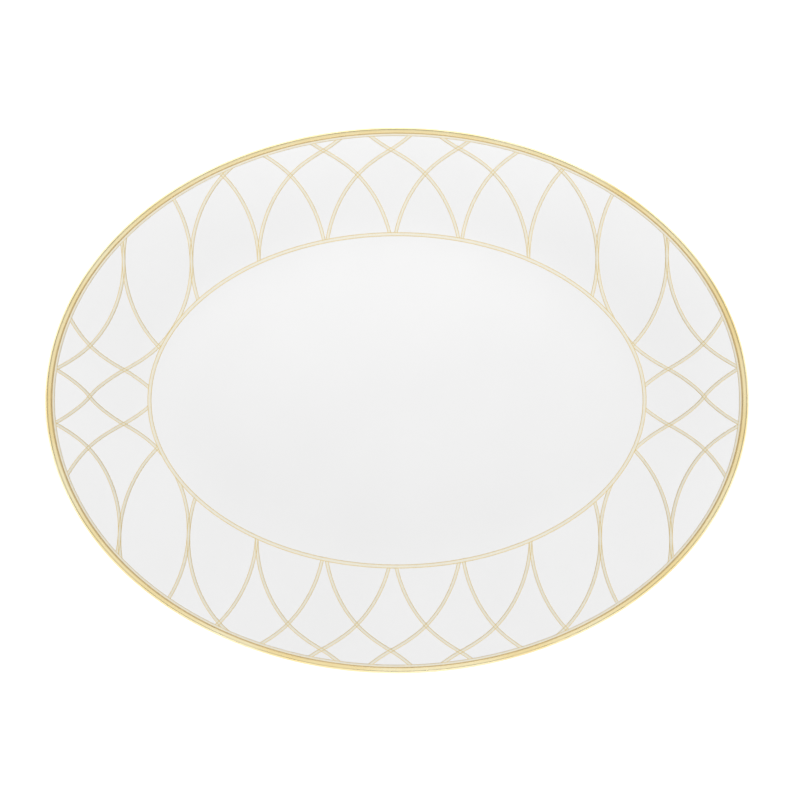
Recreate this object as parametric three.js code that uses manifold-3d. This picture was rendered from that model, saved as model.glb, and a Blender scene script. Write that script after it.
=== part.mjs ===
// Oval serving platter of glazed porcelain with a gilded edge and a gilded lattice on its flange.
// Millimetres. The origin is on the table under the middle of the platter, +X runs along its
// length, -Y is its front and +Z is up.
//
// The platter is made in layers, as a decorated platter is: a fired porcelain body, the glaze fired
// on its face and on its base, and the gilding fired on the glaze.

import * as THREE from "three";
import { mergeVertices } from "three/addons/utils/BufferGeometryUtils.js";
import Module from "manifold-3d";

const wasm = await Module();
wasm.setup();

// ---------------------------------------------------------------- driving dimensions

const length = 415;
const width = 322;
const height = 33;

// The oval line around the well, where the floor has begun to curve up into the flange.
const wellLength = 294.4;
const wellWidth = 197.6;

const wellThickness = 5.4;
const edgeThickness = 4.2;
const baseRecess = 3.4; // clear height under the base, inside the foot ring
const bendLength = 8; // softness of the curve between floor and flange
const bendInset = 1.8; // how far inside the well line that curve is centred

const footInset = 17; // well line to the middle of the foot ring
const footRootWidth = 10;
const footSoleWidth = 5.2;
const soleChamfer = 0.6;
const glazeLift = 1; // the glaze stops this far above the table, so the sole is bare porcelain

const glazeThickness = 0.4;
const gildingThickness = 0.3;
const layerGap = 0.3;
const lastFacetGilded = 0.7; // share of the edge's last facet, where it meets the face, under gold

// Gilded lines, measured across the flange.
const latticeLineWidth = 2;
const wellLineWidth = 2.3;
const borderLineWidth = 1.5;
const borderEndInset = 4.95; // platter's edge to the middle of the border line, at its two ends
const borderSideInset = 4.35; // the same at its front and back

// The lattice: tall pointed arches that cross each other, in columns one pitch apart. Half a strand
// starts upright on a column, where it touches its mirror image, and passes these heights and
// directions half a pitch, one pitch and one and a half pitches further along.
const columnPitch = 40.4;
const crossingHeights = [0, 51.3, 65.8, 82.1];
const crossingAngles = [90, 46, 29, 54];
const tangentWeights = [1.02, 0.99, 0.83];
const columnsEachSide = 7;

// The lattice is laid on by hand: it sits a little off centre and is stretched a little, by these
// amounts at 100 mm from the middle.
const transferShift = [-1.7, 1.2];
const transferStretch = { x: { xy: -0.9, xx: 0.5, yy: -0.9 }, y: { xy: 1.1, xx: 0.3, yy: -0.5 } };
const stretchReach = 100;

// Fineness of the facets and of the sums.
const segmentsAround = 60;
const edgeSteps = 6;
const strandSteps = 4;
const bendSteps = [-16, -8, 0, 8, 16, 28]; // places across the bend, from its middle
const stationGap = 4; // least distance from the foot ring to the next place across the wall
const radiusHalvings = 40;
const heightRounds = 6;

// ---------------------------------------------------------------- worked-out dimensions

const halfWidth = width / 2;
const wellHalfLength = wellLength / 2;
const wellHalfWidth = wellWidth / 2;
const gildingTop = layerGap + gildingThickness;
const bodyInset = glazeThickness + layerGap;

const footMiddle = wellHalfWidth - footInset;
const footOuter = footMiddle + footRootWidth / 2;
const footInner = footMiddle - footRootWidth / 2;
const scaledRadius = 60; // the ovals inside this one are its scaled copies

const edgeRadius = halfWidth - gildingTop - edgeThickness / 2;
const floorMid = baseRecess + wellThickness / 2;
const edgeMid = height - gildingTop - edgeThickness / 2;
const bendRadius = wellHalfWidth - bendInset;

// ---------------------------------------------------------------- shape of the dish

// The platter is a stack of ovals, each named by its half width, called its radius here. From the
// well line to the edge the ovals keep the flange the same width all round.
function halfLengthAt(radius) {
  const straight = wellHalfLength - wellHalfWidth;
  if (radius < scaledRadius) return (radius * (scaledRadius + straight)) / scaledRadius;
  if (radius < wellHalfWidth) return radius + straight;
  const flangeRatio = (length / 2 - wellHalfLength) / (halfWidth - wellHalfWidth);
  return wellHalfLength + (radius - wellHalfWidth) * flangeRatio;
}

// Radius of the oval through a point in plan.
function radiusAt(x, y) {
  let low = 0;
  let high = length;
  for (let i = 0; i < radiusHalvings; i++) {
    const radius = (low + high) / 2;
    const inside = (x / halfLengthAt(radius)) ** 2 + (y / radius) ** 2 < 1;
    if (inside) high = radius;
    else low = radius;
  }
  return (low + high) / 2;
}

// The middle of the wall: flat in the well, then a soft bend into a straight sloping flange.
const bendCurve = (radius) => bendLength * Math.log1p(Math.exp((radius - bendRadius) / bendLength));
const flangeSlope = (edgeMid - floorMid) / bendCurve(edgeRadius);
const midHeight = (radius) => floorMid + flangeSlope * bendCurve(radius);
const midSlope = (radius) => flangeSlope / (1 + Math.exp((bendRadius - radius) / bendLength));

function halfThickness(radius) {
  const share = (radius - wellHalfWidth) / (edgeRadius - wellHalfWidth);
  return THREE.MathUtils.lerp(wellThickness, edgeThickness, THREE.MathUtils.clamp(share, 0, 1)) / 2;
}

// A point of the face (side 1) or the underside (side -1), sunk into the wall by inset.
function skinPoint(radius, side, inset) {
  const slope = midSlope(radius);
  const normal = new THREE.Vector2(-slope, 1).normalize();
  const offset = side * (halfThickness(radius) - inset);
  return new THREE.Vector2(radius, midHeight(radius)).addScaledVector(normal, offset);
}

// Height of the face above a point in plan.
function faceHeight(x, y) {
  const target = radiusAt(x, y);
  let radius = target;
  for (let i = 0; i < heightRounds; i++) radius += target - skinPoint(radius, 1, 0).x;
  return skinPoint(radius, 1, 0).y;
}

// ---------------------------------------------------------------- profiles across the wall

const bendStations = bendSteps.map((step) => bendRadius + step);
const faceStations = [...bendStations, (bendStations.at(-1) + edgeRadius) / 2, edgeRadius];
const beyondFoot = faceStations.filter((radius) => radius > footOuter + stationGap);
const undersideStations = [footOuter, ...beyondFoot];

const facePoints = (inset) => faceStations.map((radius) => skinPoint(radius, 1, inset));
const undersidePoints = (inset) => undersideStations.map((radius) => skinPoint(radius, -1, inset));

// The rounded edge, from the underside round to the face, without its two end points.
function edgePoints(inset) {
  const slopeAngle = Math.atan(midSlope(edgeRadius));
  const rounding = edgeThickness / 2 - inset;
  const points = [];
  for (let i = 1; i < edgeSteps; i++) {
    const angle = slopeAngle - Math.PI / 2 + (Math.PI * i) / edgeSteps;
    points.push(new THREE.Vector2(Math.cos(angle), Math.sin(angle)).multiplyScalar(rounding));
    points.at(-1).add(new THREE.Vector2(edgeRadius, edgeMid));
  }
  return points;
}

// The skin from the foot ring round the edge to the middle of the face.
function skin(inset) {
  const middle = new THREE.Vector2(0, floorMid + wellThickness / 2 - inset);
  return [...undersidePoints(inset), ...edgePoints(inset), ...facePoints(inset).reverse(), middle];
}

function bodyProfile() {
  const base = baseRecess + bodyInset;
  const root = footRootWidth / 2 - bodyInset;
  const sole = footSoleWidth / 2 - bodyInset;
  return [
    new THREE.Vector2(0, base),
    new THREE.Vector2(footMiddle - root, base),
    new THREE.Vector2(footMiddle - sole, soleChamfer),
    new THREE.Vector2(footMiddle - sole + soleChamfer, 0),
    new THREE.Vector2(footMiddle + sole - soleChamfer, 0),
    new THREE.Vector2(footMiddle + sole, soleChamfer),
    ...skin(bodyInset).with(0, skinPoint(footOuter - bodyInset, -1, bodyInset)),
  ];
}

function glazeCoatProfile() {
  const soleEdge = footMiddle + footSoleWidth / 2;
  const inner = skin(glazeThickness).with(0, skinPoint(footOuter - glazeThickness, -1, glazeThickness));
  return [
    ...inner.reverse(),
    new THREE.Vector2(soleEdge - glazeThickness, glazeLift),
    new THREE.Vector2(soleEdge, glazeLift),
    ...skin(0),
  ];
}

function baseGlazeProfile() {
  const soleEdge = footMiddle - footSoleWidth / 2;
  return [
    new THREE.Vector2(0, baseRecess),
    new THREE.Vector2(footInner, baseRecess),
    new THREE.Vector2(soleEdge, glazeLift),
    new THREE.Vector2(soleEdge + glazeThickness, glazeLift),
    new THREE.Vector2(footInner + glazeThickness, baseRecess + glazeThickness),
    new THREE.Vector2(0, baseRecess + glazeThickness),
  ];
}

function edgeGildingProfile() {
  const around = (inset) => {
    const rounding = edgePoints(inset);
    const faceStart = skinPoint(edgeRadius, 1, inset);
    const goldEnd = rounding.at(-1).clone().lerp(faceStart, lastFacetGilded);
    return [skinPoint(edgeRadius, -1, inset), ...rounding, goldEnd];
  };
  const outer = around(-gildingTop);
  return [...outer, ...around(-layerGap).reverse(), outer[0]];
}

// ---------------------------------------------------------------- solids

// Turns a profile round the Z axis and stretches each of its circles into the platter's oval.
function ovalSolid(profile) {
  const geometry = new THREE.LatheGeometry(profile, segmentsAround);
  geometry.rotateX(Math.PI / 2);
  const position = geometry.getAttribute("position");
  for (let i = 0; i < position.count; i++) {
    const radius = Math.hypot(position.getX(i), position.getY(i));
    if (radius > 0) position.setX(i, (position.getX(i) * halfLengthAt(radius)) / radius);
  }
  geometry.computeVertexNormals();
  return geometry;
}

function toManifold(geometry) {
  geometry.deleteAttribute("normal");
  geometry.deleteAttribute("uv");
  const merged = mergeVertices(geometry);
  const vertProperties = merged.getAttribute("position").array;
  const triVerts = new Uint32Array(merged.index.array);
  return new wasm.Manifold(new wasm.Mesh({ numProp: 3, vertProperties, triVerts }));
}

function fromManifold(solid) {
  const mesh = solid.getMesh();
  const geometry = new THREE.BufferGeometry();
  geometry.setAttribute("position", new THREE.Float32BufferAttribute(mesh.vertProperties, 3));
  geometry.setIndex([...mesh.triVerts]);
  return geometry;
}

// A flat sheet of gold in the outline of a shape.
function goldLeaf(shape) {
  const leaf = { depth: gildingThickness, bevelEnabled: false };
  return toManifold(new THREE.ExtrudeGeometry(shape, leaf));
}

// ---------------------------------------------------------------- lattice in plan

// Half a strand, from where it touches its mirror image to the middle of the pattern.
function halfStrand() {
  const nodes = crossingHeights.map((up, i) => new THREE.Vector2((i * columnPitch) / 2, up));
  const directions = crossingAngles.map((angle) => THREE.MathUtils.degToRad(angle));
  const points = [nodes[0]];
  tangentWeights.forEach((weight, i) => {
    const reach = (nodes[i].distanceTo(nodes[i + 1]) * weight) / 3;
    const handle = (node, direction, sign) =>
      new THREE.Vector2(Math.cos(direction), Math.sin(direction)).multiplyScalar(sign * reach).add(node);
    const curve = new THREE.CubicBezierCurve(
      nodes[i],
      handle(nodes[i], directions[i], 1),
      handle(nodes[i + 1], directions[i + 1], -1),
      nodes[i + 1],
    );
    points.push(...curve.getPoints(strandSteps).slice(1));
  });
  return points;
}

// A point of the pattern where the transfer really lies.
function laidOn(point) {
  const u = point.x / stretchReach;
  const v = point.y / stretchReach;
  const stretch = (by) => by.xy * u * v + by.xx * u * u + by.yy * v * v;
  return new THREE.Vector2(
    point.x + transferShift[0] + stretch(transferStretch.x),
    point.y + transferShift[1] + stretch(transferStretch.y),
  );
}

// Every strand, as a line of points: whole ones across the middle, and halves beyond the two rows
// where neighbours touch.
function strands() {
  const half = halfStrand();
  const rise = crossingHeights.at(-1);
  const whole = [
    ...half,
    ...half.slice(0, -1).reverse().map((p) => new THREE.Vector2(3 * columnPitch - p.x, 2 * rise - p.y)),
  ];
  const lines = [];
  for (let column = -columnsEachSide; column <= columnsEachSide; column++) {
    for (const side of [1, -1]) {
      const place = (points, base, up) =>
        points.map((p) => laidOn(new THREE.Vector2(column * columnPitch + side * p.x, base + up * p.y)));
      lines.push(place(whole, -rise, 1));
      lines.push(place(half, -rise, -1));
      lines.push(place(half, rise, 1));
    }
  }
  return lines;
}

// The outline of a line of points drawn with a pen as wide as a lattice line.
function inked(points) {
  const sides = [[], []];
  points.forEach((point, i) => {
    const before = points[Math.max(i - 1, 0)];
    const after = points[Math.min(i + 1, points.length - 1)];
    const across = new THREE.Vector2(before.y - after.y, after.x - before.x).setLength(latticeLineWidth / 2);
    sides[0].push(point.clone().add(across));
    sides[1].push(point.clone().sub(across));
  });
  return new THREE.Shape([...sides[0].reverse(), ...sides[1]]);
}

// The band of plan between two ovals, each given as its half length and half width.
function ovalBand(inner, outer) {
  const outline = (oval) => new THREE.EllipseCurve(0, 0, ...oval).getPoints(segmentsAround);
  const shape = new THREE.Shape(outline(outer));
  shape.holes.push(new THREE.Path(outline(inner)));
  return shape;
}

// The band of plan under a line drawn along an oval.
function ovalLine(oval, lineWidth) {
  const grown = (by) => oval.map((half) => half + by);
  return ovalBand(grown(-lineWidth / 2), grown(lineWidth / 2));
}

// ---------------------------------------------------------------- gilded transfers

// The lattice and the lines along its two sides, as one flat sheet.
function flatTransfer() {
  const wellOval = [wellHalfLength, wellHalfWidth];
  const borderOval = [length / 2 - borderEndInset, halfWidth - borderSideInset];
  const flange = goldLeaf(ovalBand(wellOval, borderOval));
  const onFlange = (point) => {
    const radius = radiusAt(point.x, point.y);
    return radius > wellHalfWidth && radius < halfWidth;
  };
  let lattice = goldLeaf(ovalLine(wellOval, wellLineWidth));
  lattice = lattice.add(goldLeaf(ovalLine(borderOval, borderLineWidth)));
  for (const points of strands().filter((line) => line.some(onFlange))) {
    lattice = lattice.add(goldLeaf(inked(points)).intersect(flange));
  }
  return lattice;
}

// One quarter of the sheet, laid on the glaze. The quarters part at y = 0 and along the column of
// crossings next to the middle.
function transferSection(sheet, sideX, sideY) {
  const partingX = transferShift[0] + columnPitch / 2;
  const quarter = new THREE.BoxGeometry(length, width, height);
  quarter.translate(
    partingX + (sideX * (length + layerGap)) / 2,
    (sideY * (width + layerGap)) / 2,
    0,
  );
  const geometry = fromManifold(sheet.intersect(toManifold(quarter)));
  const position = geometry.getAttribute("position");
  for (let i = 0; i < position.count; i++) {
    const lift = faceHeight(position.getX(i), position.getY(i)) + layerGap;
    position.setZ(i, position.getZ(i) + lift);
  }
  geometry.computeVertexNormals();
  return geometry;
}

// ---------------------------------------------------------------- materials and assembly

const porcelain = { color: 0xece9e2, roughness: 0.75, metalness: 0 };
const glaze = { color: 0xf7f7f6, roughness: 0.08, metalness: 0 };
const brightGold = { color: 0xe3c57c, roughness: 0.22, metalness: 1 };
const paleGold = { color: 0xdccfab, roughness: 0.35, metalness: 1 };

const platter = new THREE.Group();

function addPiece(name, geometry, finish) {
  const mesh = new THREE.Mesh(geometry, new THREE.MeshStandardMaterial(finish));
  mesh.name = name;
  platter.add(mesh);
}

addPiece("porcelain_body", ovalSolid(bodyProfile()), porcelain);
addPiece("glaze_coat", ovalSolid(glazeCoatProfile()), glaze);
addPiece("base_glaze", ovalSolid(baseGlazeProfile()), glaze);
addPiece("edge_gilding", ovalSolid(edgeGildingProfile()), brightGold);

const sheet = flatTransfer();
addPiece("transfer_front_left", transferSection(sheet, -1, -1), paleGold);
addPiece("transfer_front_right", transferSection(sheet, 1, -1), paleGold);
addPiece("transfer_back_left", transferSection(sheet, -1, 1), paleGold);
addPiece("transfer_back_right", transferSection(sheet, 1, 1), paleGold);

export default platter;
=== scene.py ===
"""Looks of the oval serving platter: smooth porcelain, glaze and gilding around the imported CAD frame.

The shape follows the same few dimensions as the CAD part, in millimetres, and is written to the
meshes in metres.
"""

import math

import bpy
import numpy as np
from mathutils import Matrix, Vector, geometry


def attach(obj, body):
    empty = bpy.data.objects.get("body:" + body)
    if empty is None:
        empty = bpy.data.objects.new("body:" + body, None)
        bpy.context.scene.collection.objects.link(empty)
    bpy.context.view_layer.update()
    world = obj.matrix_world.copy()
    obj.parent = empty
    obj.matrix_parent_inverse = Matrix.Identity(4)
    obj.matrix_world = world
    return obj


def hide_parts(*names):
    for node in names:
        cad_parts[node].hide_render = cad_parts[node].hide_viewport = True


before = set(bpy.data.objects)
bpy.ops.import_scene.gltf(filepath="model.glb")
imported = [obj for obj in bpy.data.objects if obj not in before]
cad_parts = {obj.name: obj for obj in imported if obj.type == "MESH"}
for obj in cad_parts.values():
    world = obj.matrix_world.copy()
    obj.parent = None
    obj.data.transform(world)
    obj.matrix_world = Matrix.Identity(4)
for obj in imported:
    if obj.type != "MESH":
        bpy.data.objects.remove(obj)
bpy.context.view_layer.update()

MM = 0.001

# ------------------------------------------------------------------ dimensions of the platter, mm

LENGTH, WIDTH, HEIGHT = 415.0, 322.0, 33.0
WELL_LENGTH, WELL_WIDTH = 294.4, 197.6
SCALED_RADIUS = 60.0  # the ovals inside this half width all have one proportion
WELL_THICKNESS, EDGE_THICKNESS = 5.4, 4.2
BASE_RECESS = 3.4  # height of the base above what the foot ring stands on
BEND_LENGTH, BEND_INSET = 8.0, 1.8  # how soft the bend is, and how far inside the well line

FOOT_INSET = 17.0  # from the well line in to the middle of the foot ring
FOOT_ROOT_WIDTH, FOOT_SOLE_WIDTH = 10.0, 5.2
SOLE_ROUNDING = 0.8
GLAZE_LIFT = 1.0  # the glaze ends this high up the foot ring
GLAZE_THICKNESS = 0.4
BODY_INSET = 0.5  # the porcelain lies this far under the outside of the glaze
BASE_COVE = 1.0  # radius of the glaze between the base and the foot ring

GILDING_ROOM = 0.6  # at the edge, the outside of the gilding stands this far off the glaze
BEDDING = 0.06  # the underside of the gilding is sunk this far into the glaze
BEAD_END_ANGLE = 98.0  # the gilding is round up to here, in degrees above straight out
UNDERSIDE_RUN_OUT = ((1.6, 0.02), (1.3, 0.2), (0.7, 0.5))  # (distance in from the rounding, thickness)
FACE_STEP = ((0.45, 0.5), (0.2, 0.36), (0.05, 0.15), (0.0, 0.02))  # (distance from its end, thickness)
STEP_PAINTED_SHADE = (0.35, 0.9, 1.0, 1.0, 1.0)  # painted shade: how much browner the gold is painted down the step, where the step's edge stands in shade
OUTER_PAINTED_SHADE = 0.5  # the same painted shade, a darker reflection, where the gilding faces straight out and down
OUTER_SHADE_FADE = (0.16, 0.66)  # the painted shade fades between these heights up the rounding, as shares of its radius

LATTICE_LINE_WIDTH, WELL_LINE_WIDTH, BORDER_LINE_WIDTH = 2.0, 2.3, 1.5
BORDER_END_INSET, BORDER_SIDE_INSET = 4.95, 4.35  # from the platter's edge to the middle of the line
LINE_RELIEF = 0.08  # a gilded line stands this far off the glaze
RELIEF_POWER = 4  # the higher, the flatter the line's top and the steeper its sides

# A strand starts straight up where it touches its mirror image. At every half pitch to the side it has
# the next height and the next angle, in degrees.
COLUMN_PITCH = 40.4
CROSSING_HEIGHTS = (0.0, 51.3, 65.8, 82.1)
CROSSING_ANGLES = (90.0, 46.0, 29.0, 54.0)
TANGENT_WEIGHTS = (1.02, 0.99, 0.83)
COLUMNS_EACH_SIDE = 7
TRANSFER_SHIFT = (-1.7, 1.2)
TRANSFER_STRETCH = ((-0.9, 0.5, -0.9), (1.1, 0.3, -0.5))  # by xy, xx and yy, for x and for y
STRETCH_REACH = 100.0  # the stretch is in full at this distance
STRAND_SPARE = 2.0  # a strand runs on this far past the side lines before it is cut

# ------------------------------------------------------------------ fineness

SEGMENTS_AROUND = 384
STRAND_STEPS = 18
LANES = (-1.0, -0.78, -0.4, 0.4, 0.78, 1.0)  # places across a gilded line, in half widths
BEND_REACH_IN, BEND_REACH_OUT, BEND_STEP = 24.0, 32.0, 2.0  # places across the wall, near its bend
REST_GAP = 4.0  # from there to the first of the wider steps
INNER_STATIONS, OUTER_STATIONS = 12, 14
STATION_GAP = 0.5  # no two places across the wall are closer than this
EDGE_STEPS = 24
BEAD_POINTS = 22
RADIUS_HALVINGS = 40
HEIGHT_ROUNDS = 6
MIDDLE_RADIUS = 1e-6  # a ring smaller than this is a single point
MERGE_DISTANCE = 1e-5  # places of the transfer closer than this are one
CREASE_ANGLE = 40.0  # degrees

half_width = WIDTH / 2
well_half_length, well_half_width = WELL_LENGTH / 2, WELL_WIDTH / 2
foot_middle = well_half_width - FOOT_INSET
foot_outer = foot_middle + FOOT_ROOT_WIDTH / 2
foot_inner = foot_middle - FOOT_ROOT_WIDTH / 2
edge_radius = half_width - GILDING_ROOM - EDGE_THICKNESS / 2
floor_mid = BASE_RECESS + WELL_THICKNESS / 2
edge_mid = HEIGHT - GILDING_ROOM - EDGE_THICKNESS / 2
bend_radius = well_half_width - BEND_INSET


# ------------------------------------------------------------------ shape of the dish

def half_length_at(radius):
    """Half length of the oval whose half width is radius."""
    radius = np.asarray(radius, float)
    straight = well_half_length - well_half_width
    flange_ratio = (LENGTH / 2 - well_half_length) / (half_width - well_half_width)
    inner = radius * (SCALED_RADIUS + straight) / SCALED_RADIUS
    outer = well_half_length + (radius - well_half_width) * flange_ratio
    middle = radius + straight
    return np.where(radius < SCALED_RADIUS, inner, np.where(radius < well_half_width, middle, outer))


def radius_at(x, y):
    """Half width of the oval through each point in plan."""
    low = np.zeros(len(x))
    high = np.full(len(x), LENGTH)
    for _ in range(RADIUS_HALVINGS):
        radius = (low + high) / 2
        inside = (x / half_length_at(radius)) ** 2 + (y / radius) ** 2 < 1
        high = np.where(inside, radius, high)
        low = np.where(inside, low, radius)
    return (low + high) / 2


def bend_curve(radius):
    """Nought on the floor and rising evenly on the flange, with a soft bend between."""
    return BEND_LENGTH * np.log1p(np.exp((radius - bend_radius) / BEND_LENGTH))


flange_slope = (edge_mid - floor_mid) / bend_curve(edge_radius)


def mid_height(radius):
    """Height of the middle of the wall."""
    return floor_mid + flange_slope * bend_curve(radius)


def mid_slope(radius):
    return flange_slope / (1 + np.exp((bend_radius - radius) / BEND_LENGTH))


def half_thickness(radius):
    share = np.clip((radius - well_half_width) / (edge_radius - well_half_width), 0, 1)
    return (WELL_THICKNESS + (EDGE_THICKNESS - WELL_THICKNESS) * share) / 2


def skin_points(radius, side, inset):
    """Points (radius, height) of the face (side 1) or underside (side -1), sunk in by inset."""
    radius = np.atleast_1d(np.asarray(radius, float))
    slope = mid_slope(radius)
    normal = np.stack([-slope, np.ones_like(slope)], 1) / np.hypot(slope, 1)[:, None]
    offset = side * (half_thickness(radius) - inset)
    return np.stack([radius, mid_height(radius)], 1) + normal * offset[:, None]


def face_height(x, y):
    """Height of the glazed face above points in plan."""
    target = radius_at(x, y)
    radius = target.copy()
    for _ in range(HEIGHT_ROUNDS):
        radius += target - skin_points(radius, 1, 0)[:, 0]
    return skin_points(radius, 1, 0)[:, 1]


# ------------------------------------------------------------------ profiles across the wall

def stations(start, end):
    """Places across the wall, closer together where it bends."""
    inner = np.linspace(0, bend_radius - BEND_REACH_IN - REST_GAP, INNER_STATIONS)
    near_bend = bend_radius + np.arange(-BEND_REACH_IN, BEND_REACH_OUT + BEND_STEP / 2, BEND_STEP)
    outer = np.linspace(bend_radius + BEND_REACH_OUT + REST_GAP, edge_radius, OUTER_STATIONS)
    every = np.concatenate([inner, near_bend, outer])
    between = every[(every > start + STATION_GAP) & (every < end - STATION_GAP)]
    return np.concatenate([[start], between, [end]])


def edge_points(inset):
    """The rounded edge, from the underside round to the face, without its two ends."""
    slope_angle = math.atan(mid_slope(edge_radius))
    angle = slope_angle - math.pi / 2 + np.pi * np.arange(1, EDGE_STEPS) / EDGE_STEPS
    rounding = EDGE_THICKNESS / 2 - inset
    return np.stack([edge_radius + rounding * np.cos(angle), edge_mid + rounding * np.sin(angle)], 1)


def arc(centre, radius, start, end, count=5):
    """Points on an arc between two angles in degrees."""
    angle = np.radians(np.linspace(start, end, count))
    return np.stack([centre[0] + radius * np.cos(angle), centre[1] + radius * np.sin(angle)], 1)


def skin(inset, root):
    """The skin from the foot ring's outer root, round the edge, to the middle of the face."""
    return np.concatenate([
        skin_points(stations(root, edge_radius), -1, inset),
        edge_points(inset),
        skin_points(stations(0, edge_radius), 1, inset)[::-1],
    ])


def sole_walls(inset):
    """Half widths of the foot ring at its root and at its sole, sunk in by inset."""
    return FOOT_ROOT_WIDTH / 2 - inset, FOOT_SOLE_WIDTH / 2 - inset


def body_profile():
    root, sole = sole_walls(BODY_INSET)
    base = BASE_RECESS + BODY_INSET
    left = (foot_middle - sole + SOLE_ROUNDING, SOLE_ROUNDING)
    right = (foot_middle + sole - SOLE_ROUNDING, SOLE_ROUNDING)
    return np.concatenate([
        [(0, base), (foot_middle - root, base)],
        arc(left, SOLE_ROUNDING, 195, 270),
        arc(right, SOLE_ROUNDING, 270, 345),
        skin(BODY_INSET, foot_outer - BODY_INSET),
    ])


def glaze_coat_profile():
    _, sole = sole_walls(0)
    lip = (foot_middle + sole - GLAZE_THICKNESS / 2, GLAZE_LIFT + GLAZE_THICKNESS / 2)
    return np.concatenate([
        skin(GLAZE_THICKNESS, foot_outer - GLAZE_THICKNESS)[::-1],
        arc(lip, GLAZE_THICKNESS / 2, 180, 360),
        skin(0, foot_outer),
    ])


def base_glaze_profile():
    _, sole = sole_walls(0)
    lip = (foot_middle - sole + GLAZE_THICKNESS / 2, GLAZE_LIFT + GLAZE_THICKNESS / 2)
    return np.concatenate([
        [(0, BASE_RECESS), (foot_inner / 2, BASE_RECESS), (foot_inner - 3 * BASE_COVE, BASE_RECESS)],
        arc((foot_inner - BASE_COVE, BASE_RECESS - BASE_COVE), BASE_COVE, 90, 30),
        arc(lip, GLAZE_THICKNESS / 2, 180, 360),
        [(foot_inner + GLAZE_THICKNESS, BASE_RECESS + GLAZE_THICKNESS), (0, BASE_RECESS + GLAZE_THICKNESS)],
    ])


# ------------------------------------------------------------------ meshes

def add_object(name, vertices, faces):
    """A smooth-shaded mesh from millimetre coordinates, with its creases marked sharp."""
    mesh = bpy.data.meshes.new(name)
    mesh.from_pydata(np.asarray(vertices, float) * MM, [], faces)
    mesh.validate()
    mesh.shade_smooth()
    mesh.set_sharp_from_angle(angle=math.radians(CREASE_ANGLE))
    piece = bpy.data.objects.new(name, mesh)
    bpy.context.scene.collection.objects.link(piece)
    return piece


def add_attribute(piece, name, values, domain="POINT"):
    attribute = piece.data.attributes.new(name, "FLOAT", domain)
    attribute.data.foreach_set("value", np.asarray(values, np.float32))


around = 2 * np.pi * np.arange(SEGMENTS_AROUND) / SEGMENTS_AROUND


def oval_row(radius, height):
    """One ring of points at a level, or a single point in the middle of the platter."""
    if radius < MIDDLE_RADIUS:
        return np.array([(0.0, 0.0, height)])
    x = half_length_at(radius) * np.cos(around)
    return np.stack([x, radius * np.sin(around), np.full(SEGMENTS_AROUND, height)], 1)


def face_row(end_inset, side_inset, lift):
    """One ring of points lifted off the face, at its own distances from the platter's edge."""
    x = (LENGTH / 2 - end_inset) * np.cos(around)
    y = (WIDTH / 2 - side_inset) * np.sin(around)
    return np.stack([x, y, face_height(x, y) + lift], 1)


def skinned(name, rows, closed=False):
    """A surface through rings of points; closed joins the last ring to the first."""
    starts = np.cumsum([0] + [len(row) for row in rows])
    pairs = [(i, i + 1) for i in range(len(rows) - 1)]
    if closed:
        pairs.append((len(rows) - 1, 0))
    faces = []
    for low, high in pairs:
        for k in range(SEGMENTS_AROUND):
            n = (k + 1) % SEGMENTS_AROUND
            if len(rows[low]) == 1:
                faces.append((starts[low], starts[high] + n, starts[high] + k))
            elif len(rows[high]) == 1:
                faces.append((starts[low] + k, starts[low] + n, starts[high]))
            else:
                faces.append((starts[low] + k, starts[low] + n, starts[high] + n, starts[high] + k))
    return add_object(name, np.concatenate(rows), faces)


def oval_piece(name, profile):
    """Turns a profile (radius, height) into the platter's oval."""
    return skinned(name, [oval_row(radius, height) for radius, height in profile])


def edge_gilding(name):
    """Thick gold round the edge. It ends in a step on the face, close to the border line. Its step and the
    part that faces out and down are painted darker, as painted shade.
    """
    slope_angle = math.degrees(math.atan(mid_slope(edge_radius)))
    rounding = EDGE_THICKNESS / 2 + GILDING_ROOM
    bead = arc((edge_radius, edge_mid), rounding, slope_angle - 90, BEAD_END_ANGLE, BEAD_POINTS)
    bedded = edge_points(BEDDING)[::-1]
    end_step = BORDER_END_INSET - BORDER_LINE_WIDTH / 2
    side_step = BORDER_SIDE_INSET - BORDER_LINE_WIDTH / 2
    run_out = [skin_points(edge_radius - back, -1, -lift)[0] for back, lift in UNDERSIDE_RUN_OUT]
    run_out_end = skin_points(edge_radius - UNDERSIDE_RUN_OUT[0][0], -1, BEDDING)[0]
    rows = [oval_row(*point) for point in (*run_out, *bead)]
    rows += [face_row(end_step - back, side_step - back, lift) for back, lift in FACE_STEP]
    rows += [face_row(end_step, side_step, -BEDDING)]
    rows += [oval_row(*point) for point in (*bedded, run_out_end)]
    piece = skinned(name, rows, closed=True)
    before = len(UNDERSIDE_RUN_OUT) + len(bead)
    # painted shade: darker gold on the underside run-out, fading out up the outer rounding, and browner
    # gold down the step
    painted_shading = np.zeros(len(rows))
    painted_shading[:len(UNDERSIDE_RUN_OUT)] = OUTER_PAINTED_SHADE
    up_the_rounding = (bead[:, 1] - edge_mid) / rounding
    painted_shading[len(UNDERSIDE_RUN_OUT):before] = np.interp(up_the_rounding, OUTER_SHADE_FADE, (OUTER_PAINTED_SHADE, 0))
    painted_shading[before:before + len(STEP_PAINTED_SHADE)] = STEP_PAINTED_SHADE
    add_attribute(piece, "painted_shade", np.repeat(painted_shading, SEGMENTS_AROUND))
    return piece


# ------------------------------------------------------------------ lattice in plan

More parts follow.
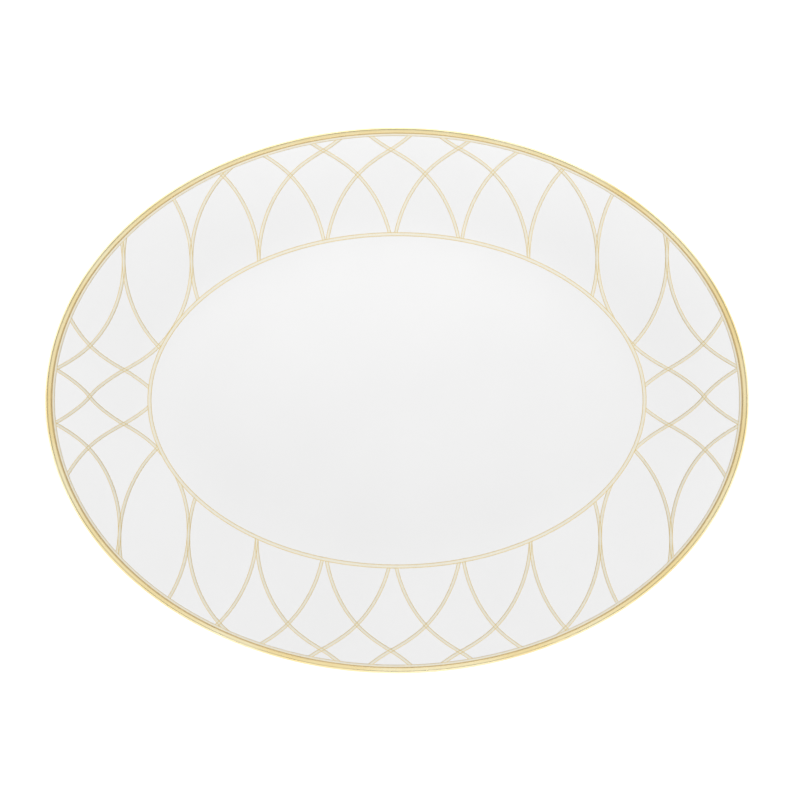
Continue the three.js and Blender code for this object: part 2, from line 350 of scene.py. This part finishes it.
def half_strand():
    """From where a strand touches its mirror image to the middle of the pattern."""
    nodes = np.array([(i * COLUMN_PITCH / 2, up) for i, up in enumerate(CROSSING_HEIGHTS)])
    angles = np.radians(CROSSING_ANGLES)
    tangents = np.stack([np.cos(angles), np.sin(angles)], 1)
    points = [nodes[:1]]
    for i, weight in enumerate(TANGENT_WEIGHTS):
        reach = np.linalg.norm(nodes[i + 1] - nodes[i]) * weight / 3
        leave, arrive = nodes[i] + tangents[i] * reach, nodes[i + 1] - tangents[i + 1] * reach
        ends = (nodes[i], leave, arrive, nodes[i + 1])
        t = (np.arange(1, STRAND_STEPS + 1) / STRAND_STEPS)[:, None]
        weights = ((1 - t) ** 3, 3 * t * (1 - t) ** 2, 3 * t * t * (1 - t), t**3)
        points.append(sum(w * p for w, p in zip(weights, ends)))
    return np.concatenate(points)


def laid_on(points):
    """Points of the pattern where the hand-laid transfer really lies."""
    u, v = points[:, 0] / STRETCH_REACH, points[:, 1] / STRETCH_REACH
    moved = [
        points[:, axis] + TRANSFER_SHIFT[axis] + by[0] * u * v + by[1] * u * u + by[2] * v * v
        for axis, by in enumerate(TRANSFER_STRETCH)
    ]
    return np.stack(moved, 1)


def strands():
    """Every strand that crosses the flange, as a line of points in plan."""
    half = half_strand()
    rise = CROSSING_HEIGHTS[-1]
    other_end = np.array([3 * COLUMN_PITCH, 2 * rise])
    whole = np.concatenate([half, other_end - half[-2::-1]])
    lines = []
    for column in range(-COLUMNS_EACH_SIDE, COLUMNS_EACH_SIDE + 1):
        for side in (1, -1):
            for points, base, up in ((whole, -rise, 1), (half, -rise, -1), (half, rise, 1)):
                lines.append(laid_on(points * (side, up) + (column * COLUMN_PITCH, base)))
    return lines


# ------------------------------------------------------------------ gilded transfers

well_line = (well_half_length, well_half_width)
border_line = (LENGTH / 2 - BORDER_END_INSET, WIDTH / 2 - BORDER_SIDE_INSET)
parting_x = TRANSFER_SHIFT[0] + COLUMN_PITCH / 2  # the left and right sections meet here
ALL_TRIANGLES = 0  # the kind of result asked of delaunay_2d_cdt


def distance_from(oval, points):
    """How far points in plan lie outside an oval; less than nought inside it."""
    share = points / oval
    ratio = np.hypot(share[:, 0], share[:, 1])
    steepness = np.hypot(share[:, 0] / oval[0], share[:, 1] / oval[1]) / ratio
    return (ratio - 1) / steepness


def lane_grid(line, line_width):
    """Points across a line of points, one row for each lane."""
    along = np.gradient(line, axis=0)
    across = np.stack([-along[:, 1], along[:, 0]], 1) / np.linalg.norm(along, axis=1)[:, None]
    return np.stack([line + across * lane * line_width / 2 for lane in LANES])


def oval_line_grid(oval, line_width):
    """Points across a side line, one row for each lane."""
    reach = np.array(LANES)[:, None] * line_width / 2
    return np.stack([(oval[0] + reach) * np.cos(around), (oval[1] + reach) * np.sin(around)], 2)


def stretches_on_flange(line):
    """The parts of a strand between the well line and the border line, and a little beyond."""
    keep = distance_from(well_line, line) > -STRAND_SPARE
    keep &= distance_from(border_line, line) < STRAND_SPARE
    cuts = np.flatnonzero(np.diff(keep.astype(int))) + 1
    parts = np.split(np.arange(len(line)), cuts)
    return [line[part] for part in parts if keep[part[0]] and len(part) > 2]


def gilded_grids():
    """Every line of the transfer as a grid of quads in plan, which overlap where lines cross.

    A side line is stored as its oval and its width, and a strand as its points. owners gives the number
    of each quad's line.
    """
    points, quads, owners, lines = [], [], [], []

    def add_grid(grid, closed, line):
        rows, columns = grid.shape[:2]
        start = sum(len(p) for p in points)
        points.append(grid.reshape(-1, 2))
        for row in range(rows - 1):
            for column in range(columns if closed else columns - 1):
                after = (column + 1) % columns
                a, b = start + row * columns + column, start + row * columns + after
                quads.append((a, b, b + columns, a + columns))
                owners.append(len(lines))
        lines.append(line)

    for strand in strands():
        for line in stretches_on_flange(strand):
            add_grid(lane_grid(line, LATTICE_LINE_WIDTH), False, line)
    for oval, line_width in ((well_line, WELL_LINE_WIDTH), (border_line, BORDER_LINE_WIDTH)):
        add_grid(oval_line_grid(oval, line_width), True, (oval, line_width))
    return np.concatenate(points), np.array(quads), owners, lines


def gilded_sheet():
    """The transfer cut into triangles in plan, without overlaps, and parted where its sections meet.

    covers holds the numbers of the lines across each triangle.
    """
    points, quads, owners, lines = gilded_grids()
    seams = [(-LENGTH, 0), (LENGTH, 0), (parting_x, -WIDTH), (parting_x, WIDTH)]
    count = len(points)
    edges = [(count, count + 1), (count + 2, count + 3)]
    corners = points[quads]
    diagonal, other = corners[:, 2] - corners[:, 0], corners[:, 3] - corners[:, 1]
    clockwise = diagonal[:, 0] * other[:, 1] < diagonal[:, 1] * other[:, 0]
    quads[clockwise] = quads[clockwise][:, ::-1]
    flat = [Vector(point) for point in np.concatenate([points, seams])]
    cut = geometry.delaunay_2d_cdt(flat, edges, quads.tolist(), ALL_TRIANGLES, MERGE_DISTANCE)
    cut_points, _, triangles, _, _, sources = cut
    vertices = np.array([tuple(point) for point in cut_points])
    faces = np.array([triangle for triangle, source in zip(triangles, sources) if source])
    covers = [{owners[quad] for quad in source} for source in sources if source]
    centre = vertices[faces].mean(1)
    inside = distance_from(well_line, centre) > -WELL_LINE_WIDTH / 2
    inside &= distance_from(border_line, centre) < BORDER_LINE_WIDTH / 2
    covers = [cover for cover, kept in zip(covers, inside) if kept]
    return vertices, faces[inside], covers, lines


def distance_from_strand(line, points):
    """How far points in plan lie from the nearest place on a strand."""
    start, along = line[:-1], np.diff(line, axis=0)
    offset = points[:, None] - start
    share = np.clip((offset * along).sum(2) / (along**2).sum(1), 0, 1)
    return np.linalg.norm(offset - share[..., None] * along, axis=2).min(1)


def line_places(vertices, faces, covers, lines):
    """How far out gold lies on its lines: nought on a line's middle and one on its side.

    The first result is for each point, on the line nearest to it. The second is for each corner of
    The second is for each corner of
    each face, on the outermost of the strands across that face, or on a side line that hides them; it sets
    where the lines' sides are painted darker, as painted shade.
    """
    nearest = np.ones(len(vertices))
    outermost = np.zeros(faces.shape)
    for number, line in enumerate(lines):
        mine = np.array([i for i, cover in enumerate(covers) if number in cover])
        used, corners = np.unique(faces[mine], return_inverse=True)
        is_side_line = isinstance(line, tuple)
        if is_side_line:
            oval, line_width = line
            out = np.abs(distance_from(oval, vertices[used])) / (line_width / 2)
        else:
            out = distance_from_strand(line, vertices[used]) / (LATTICE_LINE_WIDTH / 2)
        out = out.clip(0, 1)
        nearest[used] = np.minimum(nearest[used], out)
        at_corners = out[corners.reshape(-1, 3)]
        outermost[mine] = at_corners if is_side_line else np.maximum(outermost[mine], at_corners)
    return nearest, outermost


def transfer_piece(name, vertices, triangles, place, painted_shade_across, height):
    """One section of the transfer as a closed body: a low rounded line bedded in the glaze."""
    used, faces = np.unique(triangles, return_inverse=True)
    faces = faces.reshape(-1, 3)
    flat, place, height = vertices[used], place[used], height[used]
    a, b, c = (flat[faces[:, i]] for i in range(3))
    turn = (b - a)[:, 0] * (c - a)[:, 1] - (b - a)[:, 1] * (c - a)[:, 0]
    faces[turn < 0] = faces[turn < 0][:, ::-1]
    painted_shade_across[turn < 0] = painted_shade_across[turn < 0][:, ::-1]
    count = len(used)
    top = np.column_stack([flat, height + LINE_RELIEF * (1 - place**RELIEF_POWER)])
    bottom = np.column_stack([flat, height - BEDDING])
    edges = np.concatenate([faces[:, [0, 1]], faces[:, [1, 2]], faces[:, [2, 0]]])
    key = np.sort(edges, axis=1)
    _, first, uses = np.unique(key, axis=0, return_index=True, return_counts=True)
    rim = edges[first[uses == 1]]
    walls = np.column_stack([rim[:, 1], rim[:, 0], rim[:, 0] + count, rim[:, 1] + count])
    underside = faces[:, ::-1] + count
    every = [tuple(face) for part in (faces, underside, walls) for face in part]
    piece = add_object(name, np.concatenate([top, bottom]), every)
    # painted shade: how far out on its line each corner lies, for the darker painted sides and lighter
    # painted middle of the gilded lines
    at_corners = np.concatenate([painted_shade_across.ravel(), painted_shade_across[:, ::-1].ravel(), np.ones(walls.size)])
    add_attribute(piece, "painted_shade_across", at_corners, "CORNER")
    return piece


def transfers():
    """The four sections of the transfer, by the names of the CAD nodes that they stand for."""
    vertices, triangles, covers, lines = gilded_sheet()
    place, painted_shade_across = line_places(vertices, triangles, covers, lines)
    centre = vertices[triangles].mean(1)
    height = face_height(vertices[:, 0], vertices[:, 1])
    made = {}
    for depth, behind in (("front", False), ("back", True)):
        for side, right in (("left", False), ("right", True)):
            mine = ((centre[:, 1] > 0) == behind) & ((centre[:, 0] > parting_x) == right)
            name = f"transfer_{depth}_{side}"
            section = (triangles[mine], place, painted_shade_across[mine], height)
            made[name] = transfer_piece(name + "_gilding", vertices, *section)
    return made


# ------------------------------------------------------------------ materials

MIX_COLOUR_SOCKETS = (0, 6, 7)  # factor, first colour, second colour
MIX_COLOUR_RESULT = 2


def new_material(name):
    material = bpy.data.materials.new(name)
    material.use_nodes = True
    nodes = material.node_tree.nodes
    return material, nodes, material.node_tree.links, nodes["Principled BSDF"]


def noise(nodes, links, coordinates, scale, detail, roughness=0.55):
    node = nodes.new("ShaderNodeTexNoise")
    node.inputs["Scale"].default_value = scale
    node.inputs["Detail"].default_value = detail
    node.inputs["Roughness"].default_value = roughness
    links.new(coordinates, node.inputs["Vector"])
    return node.outputs["Fac"]


def ramp(nodes, links, value, stops):
    node = nodes.new("ShaderNodeValToRGB")
    while len(node.color_ramp.elements) < len(stops):
        node.color_ramp.elements.new(0.5)
    for element, (at, colour) in zip(node.color_ramp.elements, stops):
        element.position = at
        element.color = (*colour, 1)
    links.new(value, node.inputs["Fac"])
    return node.outputs["Color"]


def stored(nodes, name):
    node = nodes.new("ShaderNodeAttribute")
    node.attribute_name = name
    return node.outputs["Fac"]


def mixed(nodes, links, first, second, share, blend="MIX"):
    """Blends two colours; share is a number or the output of a node."""
    node = nodes.new("ShaderNodeMix")
    node.data_type = "RGBA"
    node.blend_type = blend
    factor, one, other = (node.inputs[i] for i in MIX_COLOUR_SOCKETS)
    for value, socket in ((share, factor), (first, one), (second, other)):
        if isinstance(value, bpy.types.NodeSocket):
            links.new(value, socket)
        else:
            socket.default_value = value
    return node.outputs[MIX_COLOUR_RESULT]


def spread(nodes, links, value, low, high, start=0.3, end=0.7):
    """Maps start to end, by default the usual range of a noise, to the range low to high."""
    node = nodes.new("ShaderNodeMapRange")
    node.inputs["From Min"].default_value = start
    node.inputs["From Max"].default_value = end
    node.inputs["To Min"].default_value = low
    node.inputs["To Max"].default_value = high
    links.new(value, node.inputs["Value"])
    return node.outputs["Result"]


def calculated(nodes, links, operation, *values):
    """The result of a Math node; each value is a number or the output of a node."""
    node = nodes.new("ShaderNodeMath")
    node.operation = operation
    for value, socket in zip(values, node.inputs):
        if isinstance(value, bpy.types.NodeSocket):
            links.new(value, socket)
        else:
            socket.default_value = value
    return node.outputs["Value"]


def bump(nodes, links, shader, height, distance):
    node = nodes.new("ShaderNodeBump")
    node.inputs["Distance"].default_value = distance
    links.new(height, node.inputs["Height"])
    links.new(node.outputs["Normal"], shader.inputs["Normal"])


def glaze_material():
    material, nodes, links, shader = new_material("glazed_porcelain")
    place = nodes.new("ShaderNodeTexCoord").outputs["Object"]
    cloud = noise(nodes, links, place, 14, 3)
    colour = ramp(nodes, links, cloud, ((0.3, (0.686, 0.686, 0.686)), (0.7, (0.700, 0.700, 0.700))))
    links.new(colour, shader.inputs["Base Color"])
    smoothness = noise(nodes, links, place, 40, 3)
    links.new(spread(nodes, links, smoothness, 0.05, 0.09), shader.inputs["Roughness"])
    shader.inputs["IOR"].default_value = 1.5
    bump(nodes, links, shader, noise(nodes, links, place, 130, 2), 0.00001)
    return material


def bisque_material():
    material, nodes, links, shader = new_material("bare_porcelain")
    place = nodes.new("ShaderNodeTexCoord").outputs["Object"]
    grain = noise(nodes, links, place, 900, 6, 0.7)
    colour = ramp(nodes, links, grain, ((0.3, (0.62, 0.59, 0.54)), (0.7, (0.78, 0.76, 0.72))))
    links.new(colour, shader.inputs["Base Color"])
    shader.inputs["Roughness"].default_value = 0.85
    bump(nodes, links, shader, grain, 0.00006)
    return material


def bright_gold_material():
    material, nodes, links, shader = new_material("burnished_gold")
    place = nodes.new("ShaderNodeTexCoord").outputs["Object"]
    streaks = nodes.new("ShaderNodeMapping")
    streaks.inputs["Scale"].default_value = (1, 1, 14)
    links.new(place, streaks.inputs["Vector"])
    brushed = noise(nodes, links, streaks.outputs["Vector"], 60, 5)
    patches = noise(nodes, links, place, 22, 2)
    colour = ramp(nodes, links, patches, ((0.35, (0.95, 0.77, 0.39)), (0.65, (0.99, 0.89, 0.58))))
    shade = ramp(nodes, links, brushed, ((0.3, (0.95, 0.94, 0.92)), (0.7, (1, 1, 1))))
    colour = mixed(nodes, links, colour, shade, 1.0, "MULTIPLY")
    # painted shade: browner gold on the step and on the outer face, as the edge gilding's attribute gives
    # it
    painted_shade = stored(nodes, "painted_shade")
    darker = ramp(nodes, links, painted_shade, ((0.5, (0.88, 0.66, 0.30)), (1.0, (0.68, 0.52, 0.34))))
    painted_shading = mixed(nodes, links, colour, darker, spread(nodes, links, painted_shade, 0, 1, 0, 0.5))
    links.new(painted_shading, shader.inputs["Base Color"])
    links.new(spread(nodes, links, brushed, 0.2, 0.34), shader.inputs["Roughness"])
    shader.inputs["Metallic"].default_value = 1.0
    bump(nodes, links, shader, noise(nodes, links, place, 700, 4), 0.00002)
    return material


def pale_gold_material():
    material, nodes, links, shader = new_material("pale_gold_transfer")
    place = nodes.new("ShaderNodeTexCoord").outputs["Object"]
    # painted shade on the sides of every gilded line and a painted highlight down its middle, over the
    # transfer's own pale gold
    pale, warm, dark = (0.99, 0.95, 0.83), (0.96, 0.87, 0.61), (0.82, 0.63, 0.27)
    across = stored(nodes, "painted_shade_across")
    colour = ramp(nodes, links, across, ((0.4, pale), (0.66, warm), (0.84, dark)))
    speckle = noise(nodes, links, place, 1400, 4)
    grain = ramp(nodes, links, speckle, ((0.3, (0.93, 0.92, 0.9)), (0.7, (1, 1, 1))))
    links.new(mixed(nodes, links, colour, grain, 1.0, "MULTIPLY"), shader.inputs["Base Color"])
    shader.inputs["Metallic"].default_value = 1.0
    burnish = noise(nodes, links, place, 500, 4)
    links.new(spread(nodes, links, burnish, 0.28, 0.42), shader.inputs["Roughness"])
    bump(nodes, links, shader, noise(nodes, links, place, 1800, 3), 0.000015)
    return material


# ------------------------------------------------------------------ pieces

def wear(piece, material, node):
    """Gives a piece its material and sets it in the place of a CAD node."""
    piece.data.materials.append(material)
    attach(piece, "root")
    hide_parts(node)


def build_platter():
    glaze = glaze_material()
    bisque = bisque_material()
    wear(oval_piece("porcelain_body_ware", body_profile()), bisque, "porcelain_body")
    wear(oval_piece("glaze_coat_ware", glaze_coat_profile()), glaze, "glaze_coat")
    wear(oval_piece("base_glaze_ware", base_glaze_profile()), glaze, "base_glaze")
    gold = bright_gold_material()
    wear(edge_gilding("edge_gilding_ware"), gold, "edge_gilding")
    pale = pale_gold_material()
    for node, piece in transfers().items():
        wear(piece, pale, node)


# ------------------------------------------------------------------ floor, lights and camera

FLOOR_REACH = 14.0  # metres, here and below
FLOOR_GREY, FLOOR_GLOW = 0.8, 0.36

SURROUND_LEVELS = ((0.1, 1.5), (0.18, 0.38), (0.42, 0.38), (0.62, 0.92))  # (height, brightness)
SURROUND_FRONT, SURROUND_BACK = 1.1, 0.94
SURROUND_FALL = -0.26  # added to the brightness straight to the left and right

SOFT_LIGHTS = (  # name, place, diameter, power in watts
    ("back_soft", (0.0, 0.495, 0.495), 0.35, 2.32),
    ("overhead_soft", (0.0, 0.0, 0.7), 0.35, 0.19),
    ("front_soft", (0.0, -0.55, 1.18), 0.65, 3.0),
)

CAMERA_PLACE = (0.00178, 0.00020, 2.4)
VIEW_WIDTH = 0.47194  # seen across the picture at the height of the platter's edge
SENSOR_WIDTH = 36.0  # millimetres


def build_floor():
    mesh = bpy.data.meshes.new("studio_floor")
    corners = [(x * FLOOR_REACH, y * FLOOR_REACH, 0) for x, y in ((-1, -1), (1, -1), (1, 1), (-1, 1))]
    mesh.from_pydata(corners, [], [(0, 1, 2, 3)])
    floor = bpy.data.objects.new("studio_floor", mesh)
    bpy.context.scene.collection.objects.link(floor)
    material, _, _, shader = new_material("pale_floor")
    shader.inputs["Base Color"].default_value = (FLOOR_GREY, FLOOR_GREY, FLOOR_GREY, 1)
    shader.inputs["Roughness"].default_value = 0.9
    shader.inputs["Emission Color"].default_value = (1, 1, 1, 1)
    shader.inputs["Emission Strength"].default_value = FLOOR_GLOW
    mesh.materials.append(material)


def soft_light(name, place, width, power):
    """A round soft light aimed at the middle of the platter, which the platter doesn't mirror."""
    data = bpy.data.lights.new(name, "AREA")
    data.shape = "DISK"
    data.size = width
    data.energy = power
    light = bpy.data.objects.new(name, data)
    light.location = place
    light.rotation_mode = "QUATERNION"
    light.rotation_quaternion = (-Vector(place)).to_track_quat("-Z", "Y")
    light.visible_camera = False
    light.visible_glossy = False
    bpy.context.scene.collection.objects.link(light)


def build_surround():
    """What the gold mirrors: white at floor level, then dark, then bright overhead.

    It is a little brighter in front than behind, and darker to the left and right.
    """
    world = bpy.data.worlds.new("studio")
    world.use_nodes = True
    nodes, links = world.node_tree.nodes, world.node_tree.links
    direction = nodes.new("ShaderNodeTexCoord").outputs["Generated"]
    parts = nodes.new("ShaderNodeSeparateXYZ")
    links.new(direction, parts.inputs["Vector"])
    x, y, z = parts.outputs
    front_to_back = spread(nodes, links, y, SURROUND_FRONT, SURROUND_BACK, -1, 1)
    sideways = calculated(nodes, links, "MULTIPLY", x, x)
    strength = calculated(nodes, links, "MULTIPLY_ADD", sideways, SURROUND_FALL, front_to_back)
    level = ramp(nodes, links, z, [(at, (grey, grey, grey)) for at, grey in SURROUND_LEVELS])
    background = nodes["Background"]
    links.new(level, background.inputs["Color"])
    links.new(strength, background.inputs["Strength"])
    bpy.context.scene.world = world


def build_lights():
    build_surround()
    for name, place, width, power in SOFT_LIGHTS:
        soft_light(name, place, width, power)


def build_camera():
    data = bpy.data.cameras.new("overhead_camera")
    data.sensor_width = SENSOR_WIDTH
    data.lens = SENSOR_WIDTH * (CAMERA_PLACE[2] - edge_mid * MM) / VIEW_WIDTH
    camera = bpy.data.objects.new("overhead_camera", data)
    camera.location = CAMERA_PLACE
    bpy.context.scene.collection.objects.link(camera)
    bpy.context.scene.camera = camera


build_platter()
build_floor()
build_lights()
build_camera()
bpy.context.scene.view_settings.view_transform = "Standard"
